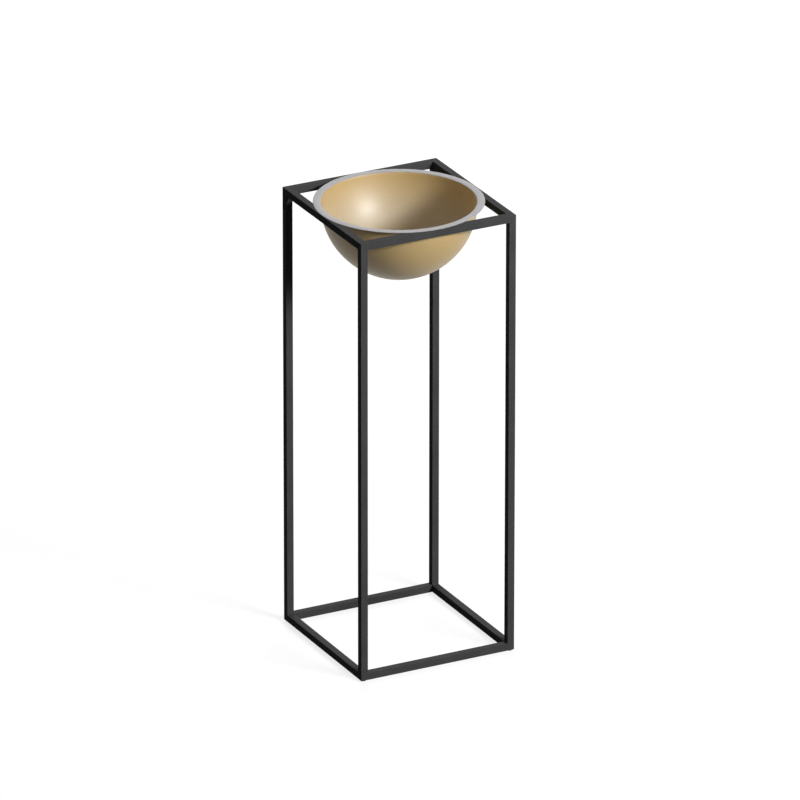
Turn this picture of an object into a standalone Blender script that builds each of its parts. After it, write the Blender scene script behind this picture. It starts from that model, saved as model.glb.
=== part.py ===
"""Plant stand: a tall open frame of square steel bar that carries a lift-out bowl.

Units are metres and +Z is up. The origin is on the floor, under the middle of the stand.
Front is -Y and left is -X.

The frame is four uprights between two square frames of mitred rails, all welded from one bar
stock. The bowl is a spun hemisphere under a low half-oval ring, and the ring lies on the top
rails where its circle crosses them. A thin round glide sits under each bottom corner.
"""

import math

import bmesh
import bpy
from mathutils import Matrix, Vector

# Frame
FRAME_WIDTH = 0.230  # over the outer faces of the bars, the same both ways
FRAME_HEIGHT = 0.628  # underside of the bottom rails to the top of the top rails
BAR = 0.010  # side of the square bar
BAR_EDGE_RADIUS = 0.0003  # the bar's long edges
BAR_EDGE_SEGMENTS = 2

# Bowl
SEAT_CLEARANCE = 0.0004  # between the bowl and the inner face of each top rail
SHELL_WALL = 0.0012
SHELL_DROP = 0.0004  # from the top of the rails down to the shell's top edge
RING_EDGE_INSET = 0.0008  # from the ring's outer edge to the outer face of the rails
RING_THICKNESS = 0.0006  # at the crown, half way across the ring
TURN_STEPS = 80
SHELL_ARC_SEGMENTS = 16
RING_ARC_SEGMENTS = 7

# Floor glides
GLIDE_DIAMETER = 0.008
GLIDE_THICKNESS = 0.0010
GLIDE_EDGE_RADIUS = 0.0002
GLIDE_STEPS = 32

# Pieces that touch keep this gap between their meshes.
TOUCH_GAP = 0.0003
MERGE_DISTANCE = 1e-5

# Heights and half widths worked out from the sizes above
HALF_WIDTH = FRAME_WIDTH / 2
BAR_CENTRE = HALF_WIDTH - BAR / 2
HALF_OPENING = HALF_WIDTH - BAR
FRAME_BOTTOM = GLIDE_THICKNESS + TOUCH_GAP
FRAME_TOP = FRAME_BOTTOM + FRAME_HEIGHT
RING_BOTTOM = FRAME_TOP + TOUCH_GAP
SHELL_TOP = FRAME_TOP - SHELL_DROP
SHELL_OUTER_RADIUS = HALF_OPENING - SEAT_CLEARANCE
SHELL_INNER_RADIUS = SHELL_OUTER_RADIUS - SHELL_WALL
RING_OUTER_RADIUS = HALF_WIDTH - RING_EDGE_INSET
RING_CROWN_RADIUS = (SHELL_INNER_RADIUS + RING_OUTER_RADIUS) / 2

SIDES = {"front": 0, "right": 90, "back": 180, "left": 270}  # degrees about +Z from the front
CORNERS = {
    "front_left": (-1, -1),
    "front_right": (1, -1),
    "back_right": (1, 1),
    "back_left": (-1, 1),
}


def clear_scene():
    for obj in list(bpy.data.objects):
        bpy.data.objects.remove(obj, do_unlink=True)


def new_collection(name):
    collection = bpy.data.collections.new(name)
    bpy.context.scene.collection.children.link(collection)
    return collection


def principled(name, colour, roughness, metallic):
    material = bpy.data.materials.new(name)
    material.use_nodes = True
    material.diffuse_color = (*colour, 1.0)
    shader = material.node_tree.nodes["Principled BSDF"]
    shader.inputs["Base Color"].default_value = (*colour, 1.0)
    shader.inputs["Roughness"].default_value = roughness
    shader.inputs["Metallic"].default_value = metallic
    return material


def add_object(name, mesh, material, collection):
    mesh.materials.clear()
    mesh.materials.append(material)
    obj = bpy.data.objects.new(name, mesh)
    collection.objects.link(obj)
    return obj


def shade_round(mesh, edge_angle):
    mesh.shade_smooth()
    mesh.set_sharp_from_angle(angle=edge_angle)


def bar_bmesh(length):
    """A square bar along X, centred on the origin, with its four long edges rounded."""
    bm = bmesh.new()
    bmesh.ops.create_cube(bm, size=1.0, matrix=Matrix.Diagonal((length, BAR, BAR, 1.0)))
    long_edges = [
        edge for edge in bm.edges
        if abs(edge.verts[0].co.x - edge.verts[1].co.x) > length / 2
    ]
    bmesh.ops.bevel(
        bm, geom=long_edges, offset=BAR_EDGE_RADIUS, segments=BAR_EDGE_SEGMENTS,
        profile=0.5, affect="EDGES",
    )
    return bm


def cut_mitre(bm, end):
    """Cuts one end of a front rail along the frame's diagonal, keeping half the gap at the weld.

    end is +1 for the rail's right end and -1 for its left. The bar is at its place in plan.
    """
    outward = Vector((end, 1.0, 0.0)).normalized()
    corner = Vector((end * HALF_WIDTH, -HALF_WIDTH, 0.0))
    cut = bmesh.ops.bisect_plane(
        bm, geom=bm.verts[:] + bm.edges[:] + bm.faces[:], dist=MERGE_DISTANCE,
        plane_co=corner - outward * TOUCH_GAP / 2, plane_no=outward, clear_outer=True,
    )
    rim = [item for item in cut["geom_cut"] if isinstance(item, bmesh.types.BMEdge)]
    bmesh.ops.holes_fill(bm, edges=rim)


def rail_mesh():
    """A rail of the front side, in plan position and at height 0, mitred at both ends."""
    bm = bar_bmesh(FRAME_WIDTH)
    bmesh.ops.translate(bm, verts=bm.verts, vec=(0.0, -BAR_CENTRE, 0.0))
    for end in (-1, 1):
        cut_mitre(bm, end)
    bmesh.ops.recalc_face_normals(bm, faces=bm.faces)
    mesh = bpy.data.meshes.new("rail")
    bm.to_mesh(mesh)
    bm.free()
    shade_round(mesh, math.radians(50))
    return mesh


def upright_mesh():
    bm = bar_bmesh(FRAME_HEIGHT - 2 * BAR - 2 * TOUCH_GAP)
    bmesh.ops.rotate(bm, verts=bm.verts, matrix=Matrix.Rotation(math.pi / 2, 3, "Y"))
    mesh = bpy.data.meshes.new("upright")
    bm.to_mesh(mesh)
    bm.free()
    shade_round(mesh, math.radians(50))
    return mesh


def add_rails(level, height, material, collection):
    mesh = rail_mesh()
    for side, degrees in SIDES.items():
        rail = add_object(f"{level}_rail_{side}", mesh, material, collection)
        rail.location.z = height
        rail.rotation_euler.z = math.radians(degrees)


def add_uprights(material, collection):
    mesh = upright_mesh()
    for corner, (x, y) in CORNERS.items():
        upright = add_object(f"upright_{corner}", mesh, material, collection)
        upright.location = (x * BAR_CENTRE, y * BAR_CENTRE, FRAME_BOTTOM + FRAME_HEIGHT / 2)


def arc(centre, across, up, start, end, segments):
    """Points (radius, height) of part of an oval, from one angle to another in degrees.

    across and up are the oval's half width and half height.
    """
    angles = [math.radians(start + (end - start) * i / segments) for i in range(segments + 1)]
    return [
        (centre[0] + across * math.cos(angle), centre[1] + up * math.sin(angle))
        for angle in angles
    ]


def round_arc(centre, radius, start, end, segments):
    return arc(centre, radius, radius, start, end, segments)


def turned(name, profile, steps, closed, material, collection):
    """A piece turned about Z from a profile of (radius, height) points, outer side running down."""
    mesh = bpy.data.meshes.new(name)
    points = [(radius, 0.0, height) for radius, height in profile]
    edges = [(i, i + 1) for i in range(len(points) - 1)]
    if closed:
        edges.append((len(points) - 1, 0))
    mesh.from_pydata(points, edges, [])
    obj = add_object(name, mesh, material, collection)
    screw = obj.modifiers.new("turn", "SCREW")
    screw.axis = "Z"
    screw.steps = steps
    screw.render_steps = steps
    screw.use_merge_vertices = True
    screw.merge_threshold = MERGE_DISTANCE
    screw.use_smooth_shade = True
    return obj


def shell_profile():
    """Half a section of the bowl, from its inside bottom up over the top edge and down outside."""
    inside = round_arc((0.0, 0.0), SHELL_INNER_RADIUS, -90, 0, SHELL_ARC_SEGMENTS)
    outside = round_arc((0.0, 0.0), SHELL_OUTER_RADIUS, 0, -90, SHELL_ARC_SEGMENTS)
    inside[0] = (0.0, -SHELL_INNER_RADIUS)
    outside[-1] = (0.0, -SHELL_OUTER_RADIUS)
    return inside + outside


def ring_section():
    """A half oval that is flat below, with a lip under its inner edge that meets the shell.

    Heights are from the shell's top edge. The lip is as wide as the shell's wall.
    """
    underside = RING_BOTTOM - SHELL_TOP
    crown = underside + RING_THICKNESS
    half_width = RING_OUTER_RADIUS - RING_CROWN_RADIUS
    inner_half = arc(
        (RING_CROWN_RADIUS, TOUCH_GAP), half_width, crown - TOUCH_GAP, 180, 90, RING_ARC_SEGMENTS
    )
    outer_half = arc(
        (RING_CROWN_RADIUS, underside), half_width, RING_THICKNESS, 90, 0, RING_ARC_SEGMENTS
    )
    lip = [(SHELL_OUTER_RADIUS, underside), (SHELL_OUTER_RADIUS, TOUCH_GAP)]
    return inner_half + outer_half[1:] + lip


def disc_edge(radius, bottom, top, edge_radius, segments):
    """The rounded outer edge of a flat disc, from its top face down to its bottom face."""
    upper = (radius - edge_radius, top - edge_radius)
    lower = (radius - edge_radius, bottom + edge_radius)
    return (
        round_arc(upper, edge_radius, 90, 0, segments)
        + round_arc(lower, edge_radius, 0, -90, segments)
    )


def add_bowl(shell_material, ring_material, collection):
    """The bowl hangs from an empty on the axis that it is lifted out along."""
    lift_axis = bpy.data.objects.new("bowl_lift_axis", None)
    lift_axis.empty_display_size = SHELL_OUTER_RADIUS
    lift_axis.location.z = SHELL_TOP
    collection.objects.link(lift_axis)

    shell = turned("bowl_shell", shell_profile(), TURN_STEPS, False, shell_material, collection)
    ring = turned("rim_ring", ring_section(), TURN_STEPS, True, ring_material, collection)
    for piece in (shell, ring):
        piece.parent = lift_axis


def add_glides(material, collection):
    edge = disc_edge(GLIDE_DIAMETER / 2, 0.0, GLIDE_THICKNESS, GLIDE_EDGE_RADIUS, 1)
    section = [(0.0, GLIDE_THICKNESS)] + edge + [(0.0, 0.0)]
    for corner, (x, y) in CORNERS.items():
        glide = turned(f"glide_{corner}", section, GLIDE_STEPS, False, material, collection)
        glide.location = (x * BAR_CENTRE, y * BAR_CENTRE, 0.0)


def main():
    clear_scene()
    collection = new_collection("plant_stand")
    black = principled("black_powder_coat", (0.012, 0.012, 0.013), 0.55, 0.0)
    gold = principled("gold_metallic_paint", (0.48, 0.33, 0.13), 0.45, 0.3)
    pale = principled("pale_satin_steel", (0.46, 0.46, 0.48), 0.45, 0.6)
    rubber = principled("dark_grey_rubber", (0.03, 0.03, 0.03), 0.85, 0.0)
    add_rails("bottom", FRAME_BOTTOM + BAR / 2, black, collection)
    add_rails("top", FRAME_TOP - BAR / 2, black, collection)
    add_uprights(black, collection)
    add_bowl(gold, pale, collection)
    add_glides(rubber, collection)


main()
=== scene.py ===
"""The looks of a tall plant stand: a welded frame of black square bar and the gold bowl in its top.

Units are metres and +Z is up. The stand's front is -Y and its left is -X.
"""

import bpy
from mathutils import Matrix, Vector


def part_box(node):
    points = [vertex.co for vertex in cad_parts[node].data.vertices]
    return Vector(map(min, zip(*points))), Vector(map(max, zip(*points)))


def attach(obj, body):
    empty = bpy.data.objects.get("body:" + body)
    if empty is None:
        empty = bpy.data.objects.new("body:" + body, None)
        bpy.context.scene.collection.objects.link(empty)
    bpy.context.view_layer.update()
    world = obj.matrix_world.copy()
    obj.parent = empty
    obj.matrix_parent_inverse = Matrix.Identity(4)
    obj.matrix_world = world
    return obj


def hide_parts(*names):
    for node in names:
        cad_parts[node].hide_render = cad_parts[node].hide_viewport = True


bl_info = {
    "name": "Plant Stand",
    "version": (1, 0, 0),
    "blender": (4, 5, 0),
    "location": "3D View > Sidebar > Plant Stand",
    "description": "Models a bar-frame plant stand with a lift-out bowl around its packed frame",
    "category": "Add Mesh",
}

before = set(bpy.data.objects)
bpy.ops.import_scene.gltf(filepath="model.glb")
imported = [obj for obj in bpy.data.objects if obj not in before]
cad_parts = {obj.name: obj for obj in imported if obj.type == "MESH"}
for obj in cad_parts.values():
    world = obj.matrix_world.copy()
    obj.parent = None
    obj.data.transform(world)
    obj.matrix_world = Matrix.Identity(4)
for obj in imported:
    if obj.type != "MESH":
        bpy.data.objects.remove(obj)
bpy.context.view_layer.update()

import math

import bmesh
import bpy
from bpy.props import FloatProperty, FloatVectorProperty, IntProperty, PointerProperty
from mathutils import Matrix, Vector

MM = 0.001
MERGE_DISTANCE = 1e-6
FAR = 10.0  # a cutter this long passes right through the stand
LEVEL_ANGLE = math.radians(1)  # faces that meet at less than this are one flat face
BAR_EDGE_ANGLE = math.radians(40)  # faces of the bars that meet at more than this get an eased edge
FACING_DOWN = -0.99  # a normal whose Z is lower than this points straight down
NOISE_REACH = (0.3, 0.7)  # a noise texture's value is nearly always between these
SENSOR_WIDTH = 36.0  # of the camera, in millimetres

BARS = [
    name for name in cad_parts
    if name.startswith(("bottom_rail_", "top_rail_", "upright_"))
]
CORNERS = {
    "front_left": (-1, -1),
    "front_right": (1, -1),
    "back_right": (1, 1),
    "back_left": (-1, 1),
}

BOTTOM_RAIL_LOW, BOTTOM_RAIL_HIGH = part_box("bottom_rail_front")
TOP_RAIL_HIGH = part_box("top_rail_front")[1]
SHELL_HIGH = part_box("bowl_shell")[1]
RING_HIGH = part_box("rim_ring")[1]
GLIDE_LOW, GLIDE_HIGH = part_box("glide_front_right")


def linear_colour(hex_code):
    """The linear red, green and blue of an sRGB hex colour."""
    channels = [int(hex_code[i:i + 2], 16) / 255 for i in (1, 3, 5)]
    return [c / 12.92 if c <= 0.04045 else ((c + 0.055) / 1.055) ** 2.4 for c in channels]


def length_property(name, description, default):
    return FloatProperty(
        name=name, description=description, default=default, min=0.0, unit="LENGTH", precision=5
    )


def count_property(name, description, default, least=1):
    return IntProperty(name=name, description=description, default=default, min=least)


def angle_property(name, description, degrees):
    return FloatProperty(
        name=name, description=description, default=math.radians(degrees), subtype="ANGLE"
    )


def level_property(name, description, default):
    return FloatProperty(name=name, description=description, default=default, min=0.0, precision=3)


def colour_property(name, description, hex_code):
    return FloatVectorProperty(
        name=name, description=description, default=linear_colour(hex_code), subtype="COLOR",
        size=3, min=0.0, max=1.0,
    )


class BarFrameSizes(bpy.types.PropertyGroup):
    width: length_property("Width", "Over the outer faces of the bars", -2 * BOTTOM_RAIL_LOW.y)
    bottom: length_property("Underside", "Height of the bottom rails' underside", BOTTOM_RAIL_LOW.z)
    top: length_property("Top", "Height of the top rails' upper faces", TOP_RAIL_HIGH.z)
    bar: length_property(
        "Bar", "Side of the square bar", BOTTOM_RAIL_HIGH.z - BOTTOM_RAIL_LOW.z
    )
    edge_radius: length_property("Edge radius", "Rounding of the coated bar's edges", 0.25 * MM)
    edge_segments: count_property("Edge segments", "Faces across each rounded edge", 3)


class BowlSizes(bpy.types.PropertyGroup):
    outer_radius: length_property("Outer radius", "Outside of the hemisphere", SHELL_HIGH.x)
    top: length_property("Top", "Height of the shell's top edge", SHELL_HIGH.z)
    wall: length_property("Wall", "Thickness of the spun sheet", 1.2 * MM)
    lip_radius: length_property("Lip radius", "Rounding of the shell's top edge", 0.1 * MM)
    lip_segments: count_property("Lip segments", "Faces across the rounded top edge", 2)
    around: count_property("Segments around", "Facets round the bowl's axis", 192, 16)
    rings: count_property("Rings", "Rings of a whole ball, pole to pole", 96, 8)
    smooth_below: angle_property("Smooth below", "Faces that meet at less are shaded as one", 45)


class RingSizes(bpy.types.PropertyGroup):
    outer_radius: length_property("Outer radius", "Outer edge of the ring", RING_HIGH.x)
    thickness: length_property("Thickness", "Of the ring at its crown", 0.6 * MM)
    gap: length_property("Gap", "Between the ring and what it lies on", 0.05 * MM)
    across: count_property("Segments across", "Facets over the crown", 24, 4)
    around: count_property("Segments around", "Facets round the ring", 192, 16)
    smooth_below: angle_property("Smooth below", "Faces that meet at less are shaded as one", 35)


class GlideSizes(bpy.types.PropertyGroup):
    diameter: length_property("Diameter", "Across a glide", GLIDE_HIGH.x - GLIDE_LOW.x)
    centre: length_property(
        "Centre", "From the stand's middle to a glide's, along X and Y",
        (GLIDE_HIGH.x + GLIDE_LOW.x) / 2,
    )
    edge_radius: length_property("Edge radius", "Rounding of the glide's lower edge", 0.25 * MM)
    edge_segments: count_property("Edge segments", "Faces across the rounded lower edge", 3)
    groove_radius: length_property("Groove radius", "Middle of the groove in the sole", 2.6 * MM)
    groove_width: length_property("Groove width", "Across the groove in the sole", 0.6 * MM)
    groove_depth: length_property("Groove depth", "Depth of the groove in the sole", 0.3 * MM)
    groove_lean: length_property("Groove lean", "How far each side of the groove leans in", 0.1 * MM)
    around: count_property("Segments around", "Facets round a glide", 48, 12)
    smooth_below: angle_property("Smooth below", "Faces that meet at less are shaded as one", 35)


class Finishes(bpy.types.PropertyGroup):
    coat_colour: colour_property("Powder coat", "Black of the frame", "#4A4A4B")
    gold_colour: colour_property("Gold paint", "Gold of the bowl", "#C8AA70")
    # The paler, greyer gold low inside the bowl is painted light, not a real change in the paint.
    inside_painted_light_colour: colour_property("Gold with painted light", "Gold low inside the bowl", "#BBAB8E")
    ring_colour: colour_property("Ring steel", "Satin steel of the rim ring", "#B1AEAF")
    rubber_colour: colour_property("Rubber", "Rubber of the glides", "#2B2B2C")


class StudioSizes(bpy.types.PropertyGroup):
    camera_azimuth: angle_property("Camera azimuth", "Round from the front", -27.19)
    camera_elevation: angle_property("Camera elevation", "Above the horizon", 22.794)
    camera_roll: angle_property("Camera roll", "Turn about the view axis", 0.0348)
    camera_distance: length_property("Camera distance", "From the camera to its aim", 15.2755)
    aim_height: length_property("Aim height", "Height of the point the camera looks at", 0.34313)
    aim_right: FloatProperty(
        name="Aim to the right", description="Of the stand's axis, seen from the camera",
        default=1.54 * MM, unit="LENGTH", precision=5,
    )
    lens: FloatProperty(
        name="Lens", description="Focal length in millimetres on a 36 mm sensor", default=515.3
    )
    floor_size: length_property("Floor size", "Side of the square floor", 120.0)
    floor_lit: level_property(
        "Floor lit", "Share of the lamps' light that the floor sends back where it is seen", 0.3
    )
    floor_glow: level_property("Floor glow", "White of the floor's own where it is seen", 0.8)
    floor_bounce: level_property(
        "Floor bounce", "Share of the lamps' light that the floor sends back onto the stand", 0.05
    )
    key_azimuth: angle_property("Key azimuth", "Round from the right towards the back", -65.0)
    key_elevation: angle_property("Key elevation", "Above the horizon", 28.5)
    key_width: length_property("Key width", "Of the key softbox", 1.4)
    key_height: length_property("Key height", "Of the key softbox", 0.6)
    key_level: level_property(
        "Key level", "How bright the key makes a white surface square to it", 0.95
    )
    gloss_azimuth: angle_property("Gloss azimuth", "Round from the right towards the back", -60.0)
    gloss_elevation: angle_property("Gloss elevation", "Above the horizon", 22.0)
    gloss_width: length_property("Gloss width", "Of the softbox that shows as a highlight", 2.0)
    gloss_height: length_property("Gloss height", "Of the softbox that shows as a highlight", 1.8)
    gloss_level: level_property(
        "Gloss level", "How bright the highlight softbox would make a white surface", 0.85
    )
    back_azimuth: angle_property("Back azimuth", "Round from the right towards the back", 70.0)
    back_elevation: angle_property("Back elevation", "Above the horizon", 38.0)
    back_size: length_property("Back size", "Side of the square back softbox", 2.0)
    back_level: level_property(
        "Back level", "How bright the back lamp makes a white surface square to it", 0.52
    )
    lamp_distance: length_property("Lamp distance", "From the stand's middle to each lamp", 4.0)
    fill_level: level_property("Fill level", "Strength of the room's light on the stand", 0.045)


class StandSettings(bpy.types.PropertyGroup):
    bars: PointerProperty(type=BarFrameSizes)
    bowl: PointerProperty(type=BowlSizes)
    ring: PointerProperty(type=RingSizes)
    glides: PointerProperty(type=GlideSizes)
    finishes: PointerProperty(type=Finishes)
    studio: PointerProperty(type=StudioSizes)


# Modelling

def deselect_all():
    bpy.ops.object.select_all(action="DESELECT")


def select_only(obj):
    deselect_all()
    obj.select_set(True)
    bpy.context.view_layer.objects.active = obj


def block(name, size, centre):
    """A cuboid with its place in its mesh."""
    deselect_all()
    bpy.ops.mesh.primitive_cube_add(size=1.0, location=centre, scale=size)
    obj = bpy.context.object
    obj.name = name
    bpy.ops.object.transform_apply(location=True, rotation=True, scale=True)
    return obj


def apply_modifier(obj, kind, **settings):
    select_only(obj)
    modifier = obj.modifiers.new(kind.title(), kind)
    for name, value in settings.items():
        setattr(modifier, name, value)
    bpy.ops.object.modifier_apply(modifier=modifier.name)


def cut_away(obj, cutter):
    apply_modifier(obj, "BOOLEAN", operation="DIFFERENCE", object=cutter, solver="EXACT")
    bpy.data.objects.remove(cutter)


def shade_round(obj, smooth_below):
    select_only(obj)
    bpy.ops.object.shade_smooth_by_angle(angle=smooth_below)


def edit(obj):
    select_only(obj)
    bpy.ops.object.mode_set(mode="EDIT")


def pick(obj, kind, test):
    """In edit mode, selects only the faces, edges or corners whose middle and self pass a test."""
    bpy.ops.mesh.select_mode(type={"faces": "FACE", "edges": "EDGE", "verts": "VERT"}[kind])
    bpy.ops.mesh.select_all(action="DESELECT")
    mesh = bmesh.from_edit_mesh(obj.data)
    for item in getattr(mesh, kind):
        corners = [item] if kind == "verts" else item.verts
        middle = sum((corner.co for corner in corners), Vector()) / len(corners)
        item.select_set(bool(test(middle, item)))
    mesh.select_flush_mode()
    bmesh.update_edit_mesh(obj.data)


def finish_piece(obj, name, body, nodes, material):
    """Names a finished piece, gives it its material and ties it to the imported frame."""
    obj.name = name
    obj.data.name = name
    obj.data.materials.clear()
    obj.data.materials.append(material)
    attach(obj, body)
    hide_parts(*nodes)


def model_bar_frame(sizes):
    """One block with an opening through it each way leaves twelve bars, welded and ground flush."""
    height = sizes.top - sizes.bottom
    outer = Vector((sizes.width, sizes.width, height))
    opening = outer - Vector((2 * sizes.bar,) * 3)
    centre = Vector((0.0, 0.0, sizes.bottom + height / 2))
    stand = block("bar_frame", outer, centre)
    for axis in range(3):
        size = opening.copy()
        size[axis] = FAR
        cut_away(stand, block("opening", size, centre))
    edit(stand)
    bpy.ops.mesh.select_all(action="SELECT")
    bpy.ops.mesh.remove_doubles(threshold=MERGE_DISTANCE)
    bpy.ops.mesh.dissolve_limited(angle_limit=LEVEL_ANGLE)
    bpy.ops.object.mode_set(mode="OBJECT")
    apply_modifier(
        stand, "BEVEL", width=sizes.edge_radius, segments=sizes.edge_segments,
        limit_method="ANGLE", angle_limit=BAR_EDGE_ANGLE, harden_normals=True,
    )
    return stand


def model_bowl_shell(sizes):
    """The lower half of a ball, made a thin shell with its top edge eased."""
    deselect_all()
    bpy.ops.mesh.primitive_uv_sphere_add(
        segments=sizes.around, ring_count=sizes.rings, radius=sizes.outer_radius,
        location=(0.0, 0.0, sizes.top),
    )
    shell = bpy.context.object
    bpy.ops.object.transform_apply(location=True, rotation=True, scale=True)
    edit(shell)
    bpy.ops.mesh.select_all(action="SELECT")
    bpy.ops.mesh.bisect(
        plane_co=(0.0, 0.0, sizes.top), plane_no=(0.0, 0.0, 1.0), clear_outer=True,
        threshold=MERGE_DISTANCE,
    )
    bpy.ops.mesh.select_all(action="SELECT")
    bpy.ops.mesh.normals_make_consistent(inside=False)
    bpy.ops.object.mode_set(mode="OBJECT")
    apply_modifier(
        shell, "SOLIDIFY", thickness=sizes.wall, offset=-1.0, use_even_offset=True, use_rim=True,
    )
    edit(shell)
    top = sizes.top - MERGE_DISTANCE
    pick(shell, "edges", lambda middle, edge: (
        middle.z > top and abs(edge.verts[0].co.length - edge.verts[1].co.length) < MERGE_DISTANCE
    ))
    bpy.ops.mesh.bevel(offset=sizes.lip_radius, segments=sizes.lip_segments, affect="EDGES")
    bpy.ops.object.mode_set(mode="OBJECT")
    shade_round(shell, sizes.smooth_below)
    return shell


def model_ring(sizes, bowl, rail_top):
    """Half an oval, drawn down at its inner side to meet the shell, and spun round the bowl's axis."""
    inner_end = Vector((bowl.outer_radius - bowl.wall, 0.0, bowl.top + sizes.gap))
    half_width = (sizes.outer_radius - inner_end.x) / 2
    centre = Vector((sizes.outer_radius - half_width, 0.0, rail_top + sizes.gap))
    crown = centre + Vector((0.0, 0.0, sizes.thickness))
    underside = centre.z
    deselect_all()
    bpy.ops.mesh.primitive_circle_add(
        vertices=2 * sizes.across, radius=half_width, location=centre,
        rotation=(math.pi / 2, 0.0, 0.0),
    )
    ring = bpy.context.object
    bpy.ops.object.transform_apply(location=True, rotation=True, scale=True)
    edit(ring)
    bpy.ops.mesh.select_all(action="SELECT")
    bpy.ops.transform.resize(
        value=(1.0, 1.0, sizes.thickness / half_width), center_override=centre
    )
    pick(ring, "verts", lambda place, corner: place.z < underside - MERGE_DISTANCE)
    bpy.ops.mesh.delete(type="VERT")
    pick(ring, "edges", lambda middle, edge: middle.x < crown.x)
    bpy.ops.transform.resize(
        value=(1.0, 1.0, (crown.z - inner_end.z) / sizes.thickness), center_override=crown
    )
    pick(ring, "verts", lambda place, corner: (place - inner_end).length < MERGE_DISTANCE)
    for step in ((bowl.wall, 0.0, 0.0), (0.0, 0.0, underside - inner_end.z)):
        bpy.ops.mesh.extrude_vertices_move(TRANSFORM_OT_translate={"value": step})
    pick(ring, "verts", lambda place, corner: (
        len(corner.link_edges) == 1 and abs(place.z - underside) < MERGE_DISTANCE
    ))
    bpy.ops.mesh.edge_face_add()
    bpy.ops.mesh.select_all(action="SELECT")
    bpy.ops.mesh.spin(
        steps=sizes.around, angle=2 * math.pi, center=(0.0, 0.0, 0.0), axis=(0.0, 0.0, 1.0),
    )
    bpy.ops.mesh.select_all(action="SELECT")
    bpy.ops.mesh.remove_doubles(threshold=MERGE_DISTANCE)
    bpy.ops.mesh.normals_make_consistent(inside=False)
    bpy.ops.object.mode_set(mode="OBJECT")
    shade_round(ring, sizes.smooth_below)
    return ring


def model_glide(sizes, top):
    """A moulded rubber button with a rounded lower edge and a ring groove in its sole."""
    deselect_all()
    bpy.ops.mesh.primitive_cylinder_add(
        vertices=sizes.around, radius=sizes.diameter / 2, depth=top, location=(0.0, 0.0, top / 2),
    )
    glide = bpy.context.object
    bpy.ops.object.transform_apply(location=True, rotation=True, scale=True)
    edit(glide)
    pick(glide, "edges", lambda middle, edge: middle.z < MERGE_DISTANCE)
    bpy.ops.mesh.bevel(offset=sizes.edge_radius, segments=sizes.edge_segments, affect="EDGES")
    pick(glide, "faces", lambda middle, face: face.normal.z < FACING_DOWN)
    sole_radius = sizes.diameter / 2 - sizes.edge_radius
    groove_outside = sizes.groove_radius + sizes.groove_width / 2
    groove_inside = groove_outside - sizes.groove_width
    bpy.ops.mesh.inset(thickness=sole_radius - groove_outside, depth=0.0)
    bpy.ops.mesh.inset(thickness=sizes.groove_width, depth=0.0)
    pick(glide, "faces", lambda middle, face: (
        face.normal.z < FACING_DOWN and groove_inside < middle.xy.length < groove_outside
    ))
    bpy.ops.mesh.inset(thickness=sizes.groove_lean, depth=-sizes.groove_depth)
    bpy.ops.object.mode_set(mode="OBJECT")
    shade_round(glide, sizes.smooth_below)
    return glide


# Materials

def add_node(tree, kind, inputs=None, **settings):
    """Adds a node. settings are its own properties. inputs gives each socket a value or a source."""
    node = tree.nodes.new(kind)
    for name, value in settings.items():
        setattr(node, name, value)
    for socket, value in (inputs or {}).items():
        if isinstance(value, bpy.types.NodeSocket):
            tree.links.new(value, node.inputs[socket])
        else:
            node.inputs[socket].default_value = value
    return node


def new_material(name):
    material = bpy.data.materials.new(name)
    material.use_nodes = True
    tree = material.node_tree
    tree.nodes.clear()
    return material, tree


def rgba(colour):
    return (*colour, 1.0)


def grey(level):
    return (level, level, level, 1.0)


def uneven(tree, colour, pattern, reach, share):
    """A colour made up to a share paler or darker as a pattern goes from end to end of its reach."""
    tone = add_node(tree, "ShaderNodeMapRange", {
        "Value": pattern, "From Min": reach[0], "From Max": reach[1],
        "To Min": 1 - share, "To Max": 1 + share,
    })
    return add_node(tree, "ShaderNodeVectorMath", {
        0: colour, "Scale": tone.outputs["Result"],
    }, operation="SCALE").outputs["Vector"]


def black_powder_coat(colour):
    """Polyester powder baked on steel bar: matt, with a fine even grain and soft thin edges."""
    material, tree = new_material("black_powder_coat")
    place = add_node(tree, "ShaderNodeTexCoord").outputs["Object"]
    grain_size = 1.6 * MM  # powder melts into bumps about 0.3 mm across, drawn larger to show
    cloud_size = 30 * MM  # the coat is a little thicker in some places than in others
    grain = add_node(tree, "ShaderNodeTexNoise", {
        "Vector": place, "Scale": 1 / grain_size, "Detail": 3.0, "Roughness": 0.6,
    })
    cloud = add_node(tree, "ShaderNodeTexNoise", {
        "Vector": place, "Scale": 1 / cloud_size, "Detail": 2.0,
    })
    both = add_node(tree, "ShaderNodeMath", {
        0: grain.outputs["Fac"], 1: cloud.outputs["Fac"],
    }, operation="ADD")
    both_reach = [2 * end for end in NOISE_REACH]
    tint = uneven(tree, colour, both.outputs["Value"], both_reach, 0.14)
    rough = add_node(tree, "ShaderNodeMapRange", {
        "Value": grain.outputs["Fac"], "From Min": NOISE_REACH[0], "From Max": NOISE_REACH[1],
        "To Min": 0.76, "To Max": 0.88,
    })
    bump = add_node(tree, "ShaderNodeBump", {
        "Height": grain.outputs["Fac"], "Strength": 0.25, "Distance": 0.1 * MM,
    })
    coat = add_node(tree, "ShaderNodeBsdfPrincipled", {
        "Base Color": tint, "Roughness": rough.outputs["Result"],
        "Normal": bump.outputs["Normal"], "Specular IOR Level": 0.03, "Metallic": 0.0,
    })
    add_node(tree, "ShaderNodeOutputMaterial", {"Surface": coat.outputs["BSDF"]})
    return material


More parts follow.
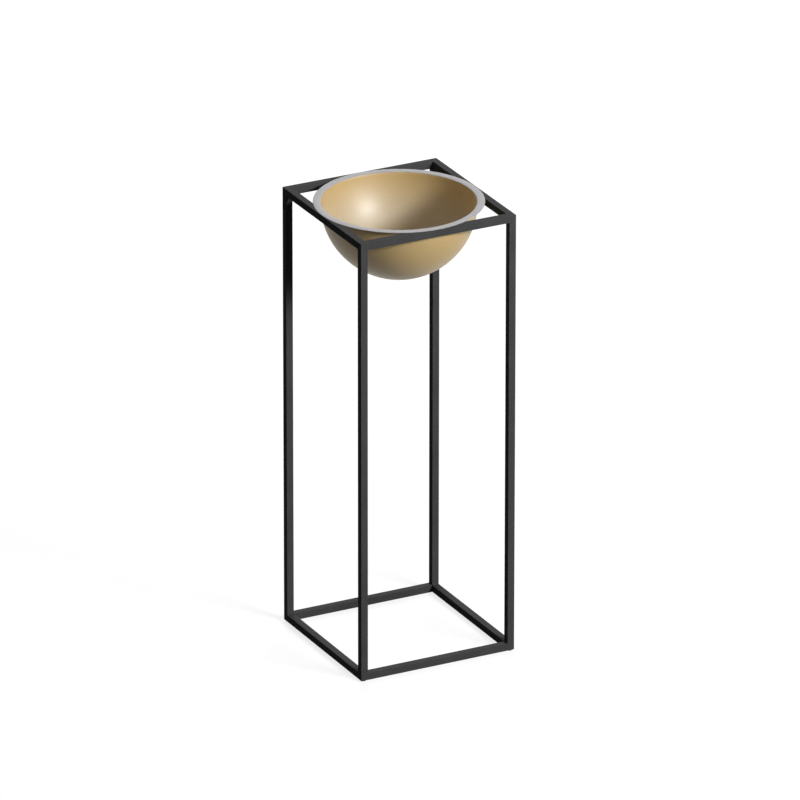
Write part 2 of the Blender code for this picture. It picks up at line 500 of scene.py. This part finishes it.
def gold_metallic_paint(colour, inside_painted_light_colour, bowl):
    """Gold paint with fine metal flake over a spun bowl: satin, with the spinning's faint rings.

    Inside, below the top edge, it turns paler and greyer: painted light that stands in for the grey
    room light reflected in the bowl's shaded inside.
    """
    material, tree = new_material("gold_metallic_paint")
    place = add_node(tree, "ShaderNodeTexCoord").outputs["Object"]
    flake_size = 1.2 * MM  # flakes are about 0.05 mm, drawn larger, but faint
    flake_reach = (0.35, 0.65)  # less than the noise's own, so that more flakes are fully pale or dark
    spinning_step = 2.5 * MM  # between the rings that the spinning tool leaves along the height
    flake = add_node(tree, "ShaderNodeTexNoise", {
        "Vector": place, "Scale": 1 / flake_size, "Detail": 2.0,
    })
    height = add_node(tree, "ShaderNodeSeparateXYZ", {"Vector": place}).outputs["Z"]
    # Deeper than half the bowl's radius, the inside blends to the paler, greyer colour: painted light
    # for the grey room light reflected there in shade.
    plain_gold_above = add_node(tree, "ShaderNodeMapRange", {
        "Value": height, "From Min": bowl.top - bowl.outer_radius / 2, "From Max": bowl.top,
    })
    from_centre = add_node(tree, "ShaderNodeVectorMath", {
        0: place, 1: (0.0, 0.0, bowl.top),
    }, operation="DISTANCE")
    plain_gold_outside = add_node(tree, "ShaderNodeMapRange", {
        "Value": from_centre.outputs["Value"],
        "From Min": bowl.outer_radius - bowl.wall, "From Max": bowl.outer_radius,
    })
    plain_gold = add_node(tree, "ShaderNodeMath", {
        0: plain_gold_above.outputs["Result"], 1: plain_gold_outside.outputs["Result"],
    }, operation="MAXIMUM")
    blend = add_node(tree, "ShaderNodeMix", {
        "Factor": plain_gold.outputs["Value"], "A": rgba(inside_painted_light_colour), "B": rgba(colour),
    }, data_type="RGBA")
    tint = uneven(tree, blend.outputs["Result"], flake.outputs["Fac"], flake_reach, 0.04)
    rings = add_node(tree, "ShaderNodeTexNoise", {
        "W": height, "Scale": 1 / spinning_step, "Detail": 1.0,
    }, noise_dimensions="1D")
    bump = add_node(tree, "ShaderNodeBump", {
        "Height": rings.outputs["Fac"], "Strength": 0.06, "Distance": 0.1 * MM,
    })
    rough = add_node(tree, "ShaderNodeMapRange", {
        "Value": flake.outputs["Fac"], "From Min": NOISE_REACH[0], "From Max": NOISE_REACH[1],
        "To Min": 0.52, "To Max": 0.58,
    })
    paint = add_node(tree, "ShaderNodeBsdfPrincipled", {
        "Base Color": tint, "Roughness": rough.outputs["Result"],
        "Normal": bump.outputs["Normal"], "Metallic": 0.0,
        "Coat Weight": 0.5, "Coat Roughness": 0.4, "Coat IOR": 1.5,
    })
    add_node(tree, "ShaderNodeOutputMaterial", {"Surface": paint.outputs["BSDF"]})
    return material


def satin_steel(colour):
    """Turned steel: pale and satin, with the lathe's faint lines round the ring."""
    material, tree = new_material("satin_steel")
    place = add_node(tree, "ShaderNodeTexCoord").outputs["Object"]
    line_step = 0.8 * MM  # the lathe's lines are about 0.1 mm apart, drawn coarser, but faint
    flat = add_node(tree, "ShaderNodeVectorMath", {0: place, 1: (1.0, 1.0, 0.0)}, operation="MULTIPLY")
    radius = add_node(tree, "ShaderNodeVectorMath", {0: flat.outputs["Vector"]}, operation="LENGTH")
    lines = add_node(tree, "ShaderNodeTexNoise", {
        "W": radius.outputs["Value"], "Scale": 1 / line_step, "Detail": 2.0,
    }, noise_dimensions="1D")
    tint = uneven(tree, colour, lines.outputs["Fac"], NOISE_REACH, 0.04)
    bump = add_node(tree, "ShaderNodeBump", {
        "Height": lines.outputs["Fac"], "Strength": 0.05, "Distance": 0.1 * MM,
    })
    # The real ring is pale and even from end to end and mirrors nothing, so it has no metallic share.
    steel = add_node(tree, "ShaderNodeBsdfPrincipled", {
        "Base Color": tint, "Roughness": 0.62, "Normal": bump.outputs["Normal"],
        "Metallic": 0.0, "Specular IOR Level": 0.3,
    })
    add_node(tree, "ShaderNodeOutputMaterial", {"Surface": steel.outputs["BSDF"]})
    return material


def moulded_rubber(colour):
    """Dark rubber from a blasted mould: dull, with a fine pebble."""
    material, tree = new_material("moulded_rubber")
    place = add_node(tree, "ShaderNodeTexCoord").outputs["Object"]
    pebble_size = 0.3 * MM
    pebble = add_node(tree, "ShaderNodeTexNoise", {
        "Vector": place, "Scale": 1 / pebble_size, "Detail": 2.0,
    })
    tint = uneven(tree, colour, pebble.outputs["Fac"], NOISE_REACH, 0.15)
    bump = add_node(tree, "ShaderNodeBump", {
        "Height": pebble.outputs["Fac"], "Strength": 0.3, "Distance": 0.05 * MM,
    })
    rubber = add_node(tree, "ShaderNodeBsdfPrincipled", {
        "Base Color": tint, "Roughness": 0.85, "Normal": bump.outputs["Normal"],
        "Specular IOR Level": 0.3,
    })
    add_node(tree, "ShaderNodeOutputMaterial", {"Surface": rubber.outputs["BSDF"]})
    return material


def seen_directly(tree):
    """1 for rays from the camera and for those that gloss or glass sends on, else 0."""
    path = add_node(tree, "ShaderNodeLightPath")
    seen = path.outputs["Is Camera Ray"]
    for ray in ("Is Glossy Ray", "Is Transmission Ray"):
        seen = add_node(tree, "ShaderNodeMath", {0: seen, 1: path.outputs[ray]},
                        operation="MAXIMUM").outputs["Value"]
    return seen


def pale_floor(studio):
    """White where it is seen, with the stand's soft shadow, and dim where it lights the stand."""
    material, tree = new_material("pale_floor")
    lit = add_node(tree, "ShaderNodeBsdfDiffuse", {"Color": grey(studio.floor_lit)})
    glow = add_node(tree, "ShaderNodeEmission", {"Color": grey(1.0), "Strength": studio.floor_glow})
    white = add_node(tree, "ShaderNodeAddShader", {0: lit.outputs["BSDF"], 1: glow.outputs["Emission"]})
    dim = add_node(tree, "ShaderNodeBsdfDiffuse", {"Color": grey(studio.floor_bounce)})
    shown = add_node(tree, "ShaderNodeMixShader", {
        0: seen_directly(tree), 1: dim.outputs["BSDF"], 2: white.outputs["Shader"],
    })
    add_node(tree, "ShaderNodeOutputMaterial", {"Surface": shown.outputs["Shader"]})
    return material


def white_room(fill_level):
    """White where it is seen, and as dim as the fill level where it lights the stand."""
    world = bpy.data.worlds.new("white_room")
    bpy.context.scene.world = world
    world.use_nodes = True
    tree = world.node_tree
    tree.nodes.clear()
    strength = add_node(tree, "ShaderNodeMapRange", {
        "Value": seen_directly(tree), "To Min": fill_level, "To Max": 1.0,
    })
    light = add_node(tree, "ShaderNodeBackground", {
        "Color": grey(1.0), "Strength": strength.outputs["Result"],
    })
    add_node(tree, "ShaderNodeOutputWorld", {"Surface": light.outputs["Background"]})


# Stage

def direction(azimuth, elevation):
    """From the stand towards a lamp. Azimuth 0 is to the right and 90 degrees is to the back."""
    return Vector((
        math.cos(azimuth) * math.cos(elevation),
        math.sin(azimuth) * math.cos(elevation),
        math.sin(elevation),
    ))


def add_softbox(name, towards, aim, distance, size, level):
    """A flat lamp whose power lights a white surface square to it to the given level."""
    lamp = bpy.data.lights.new(name, "AREA")
    lamp.shape = "RECTANGLE"
    lamp.size, lamp.size_y = size
    # Power P arrives as P / (pi distance^2), of which a white surface sends 1 / pi to the eye.
    lamp.energy = level * math.pi ** 2 * distance ** 2
    obj = bpy.data.objects.new(name, lamp)
    bpy.context.scene.collection.objects.link(obj)
    obj.location = aim + towards * distance
    obj.rotation_euler = towards.to_track_quat("Z", "Y").to_euler()
    obj.visible_camera = False
    return obj


def add_camera(sizes):
    azimuth, elevation = sizes.camera_azimuth, sizes.camera_elevation
    back = Vector((
        math.sin(azimuth) * math.cos(elevation),
        -math.cos(azimuth) * math.cos(elevation),
        math.sin(elevation),
    ))
    right = Vector((math.cos(azimuth), math.sin(azimuth), 0.0))
    aim = right * sizes.aim_right + Vector((0.0, 0.0, sizes.aim_height))
    camera = bpy.data.cameras.new("camera")
    camera.lens = sizes.lens
    camera.sensor_width = SENSOR_WIDTH
    obj = bpy.data.objects.new("camera", camera)
    bpy.context.scene.collection.objects.link(obj)
    turn = Matrix((right, back.cross(right), back)).transposed().to_4x4()
    obj.matrix_world = (
        Matrix.Translation(aim + back * sizes.camera_distance)
        @ turn @ Matrix.Rotation(sizes.camera_roll, 4, "Z")
    )
    bpy.context.scene.camera = obj


# Operators

class PLANTSTAND_OT_bar_frame(bpy.types.Operator):
    """Model the welded frame of square bar"""

    bl_idname = "plantstand.bar_frame"
    bl_label = "Bar Frame"
    bl_options = {"REGISTER", "UNDO"}

    def execute(self, context):
        stand = context.scene.plant_stand
        piece = model_bar_frame(stand.bars)
        coat = black_powder_coat(stand.finishes.coat_colour)
        finish_piece(piece, "welded_bar_frame", "frame", BARS, coat)
        return {"FINISHED"}


class PLANTSTAND_OT_bowl_shell(bpy.types.Operator):
    """Model the spun gold bowl"""

    bl_idname = "plantstand.bowl_shell"
    bl_label = "Bowl Shell"
    bl_options = {"REGISTER", "UNDO"}

    def execute(self, context):
        stand = context.scene.plant_stand
        piece = model_bowl_shell(stand.bowl)
        finishes = stand.finishes
        paint = gold_metallic_paint(finishes.gold_colour, finishes.inside_painted_light_colour, stand.bowl)
        finish_piece(piece, "spun_bowl", "bowl", ["bowl_shell"], paint)
        return {"FINISHED"}


class PLANTSTAND_OT_rim_ring(bpy.types.Operator):
    """Model the low ring that carries the bowl on the rails"""

    bl_idname = "plantstand.rim_ring"
    bl_label = "Rim Ring"
    bl_options = {"REGISTER", "UNDO"}

    def execute(self, context):
        stand = context.scene.plant_stand
        piece = model_ring(stand.ring, stand.bowl, stand.bars.top)
        steel = satin_steel(stand.finishes.ring_colour)
        finish_piece(piece, "rim_ring_turned", "bowl", ["rim_ring"], steel)
        return {"FINISHED"}


class PLANTSTAND_OT_glides(bpy.types.Operator):
    """Model the four rubber glides under the bottom corners"""

    bl_idname = "plantstand.glides"
    bl_label = "Glides"
    bl_options = {"REGISTER", "UNDO"}

    def execute(self, context):
        stand = context.scene.plant_stand
        master = model_glide(stand.glides, stand.bars.bottom)
        rubber = moulded_rubber(stand.finishes.rubber_colour)
        for corner, (x, y) in CORNERS.items():
            piece = bpy.data.objects.new("glide", master.data.copy())
            context.scene.collection.objects.link(piece)
            piece.data.transform(
                Matrix.Translation((x * stand.glides.centre, y * stand.glides.centre, 0.0))
            )
            finish_piece(
                piece, f"rubber_glide_{corner}", "frame", [f"glide_{corner}"], rubber
            )
        bpy.data.objects.remove(master)
        return {"FINISHED"}


class PLANTSTAND_OT_stage(bpy.types.Operator):
    """Set up the camera, the pale floor, the lamps and the white room"""

    bl_idname = "plantstand.stage"
    bl_label = "Stage"
    bl_options = {"REGISTER", "UNDO"}

    def execute(self, context):
        stand = context.scene.plant_stand
        studio = stand.studio
        add_camera(studio)
        deselect_all()
        bpy.ops.mesh.primitive_plane_add(size=studio.floor_size)
        floor = context.object
        floor.name = "floor"
        floor.data.materials.append(pale_floor(studio))
        middle = Vector((0.0, 0.0, stand.bars.top / 2))
        distance = studio.lamp_distance
        add_softbox(
            "key_softbox", direction(studio.key_azimuth, studio.key_elevation), middle, distance,
            (studio.key_width, studio.key_height), studio.key_level,
        )
        gloss = add_softbox(
            "gloss_softbox", direction(studio.gloss_azimuth, studio.gloss_elevation), middle,
            distance, (studio.gloss_width, studio.gloss_height), studio.gloss_level,
        )
        gloss.visible_diffuse = False
        add_softbox(
            "back_softbox", direction(studio.back_azimuth, studio.back_elevation), middle, distance,
            (studio.back_size, studio.back_size), studio.back_level,
        )
        white_room(studio.fill_level)
        context.scene.view_settings.view_transform = "Standard"
        return {"FINISHED"}


class PLANTSTAND_PT_build(bpy.types.Panel):
    bl_label = "Plant Stand"
    bl_space_type = "VIEW_3D"
    bl_region_type = "UI"
    bl_category = "Plant Stand"

    def draw(self, context):
        stand = context.scene.plant_stand
        for title, settings, operator in (
            ("Frame", stand.bars, "plantstand.bar_frame"),
            ("Bowl", stand.bowl, "plantstand.bowl_shell"),
            ("Ring", stand.ring, "plantstand.rim_ring"),
            ("Glides", stand.glides, "plantstand.glides"),
            ("Stage", stand.studio, "plantstand.stage"),
        ):
            box = self.layout.box()
            box.label(text=title)
            for name in settings.bl_rna.properties.keys():
                if name not in {"rna_type", "name"}:
                    box.prop(settings, name)
            box.operator(operator)
        box = self.layout.box()
        box.label(text="Finishes")
        for name in stand.finishes.bl_rna.properties.keys():
            if name not in {"rna_type", "name"}:
                box.prop(stand.finishes, name)


CLASSES = (
    BarFrameSizes,
    BowlSizes,
    RingSizes,
    GlideSizes,
    Finishes,
    StudioSizes,
    StandSettings,
    PLANTSTAND_OT_bar_frame,
    PLANTSTAND_OT_bowl_shell,
    PLANTSTAND_OT_rim_ring,
    PLANTSTAND_OT_glides,
    PLANTSTAND_OT_stage,
    PLANTSTAND_PT_build,
)


def register():
    for cls in CLASSES:
        bpy.utils.register_class(cls)
    bpy.types.Scene.plant_stand = PointerProperty(type=StandSettings)


def unregister():
    del bpy.types.Scene.plant_stand
    for cls in reversed(CLASSES):
        bpy.utils.unregister_class(cls)


def main():
    register()
    bpy.ops.plantstand.bar_frame()
    bpy.ops.plantstand.bowl_shell()
    bpy.ops.plantstand.rim_ring()
    bpy.ops.plantstand.glides()
    bpy.ops.plantstand.stage()


if __name__ == "__main__":
    main()
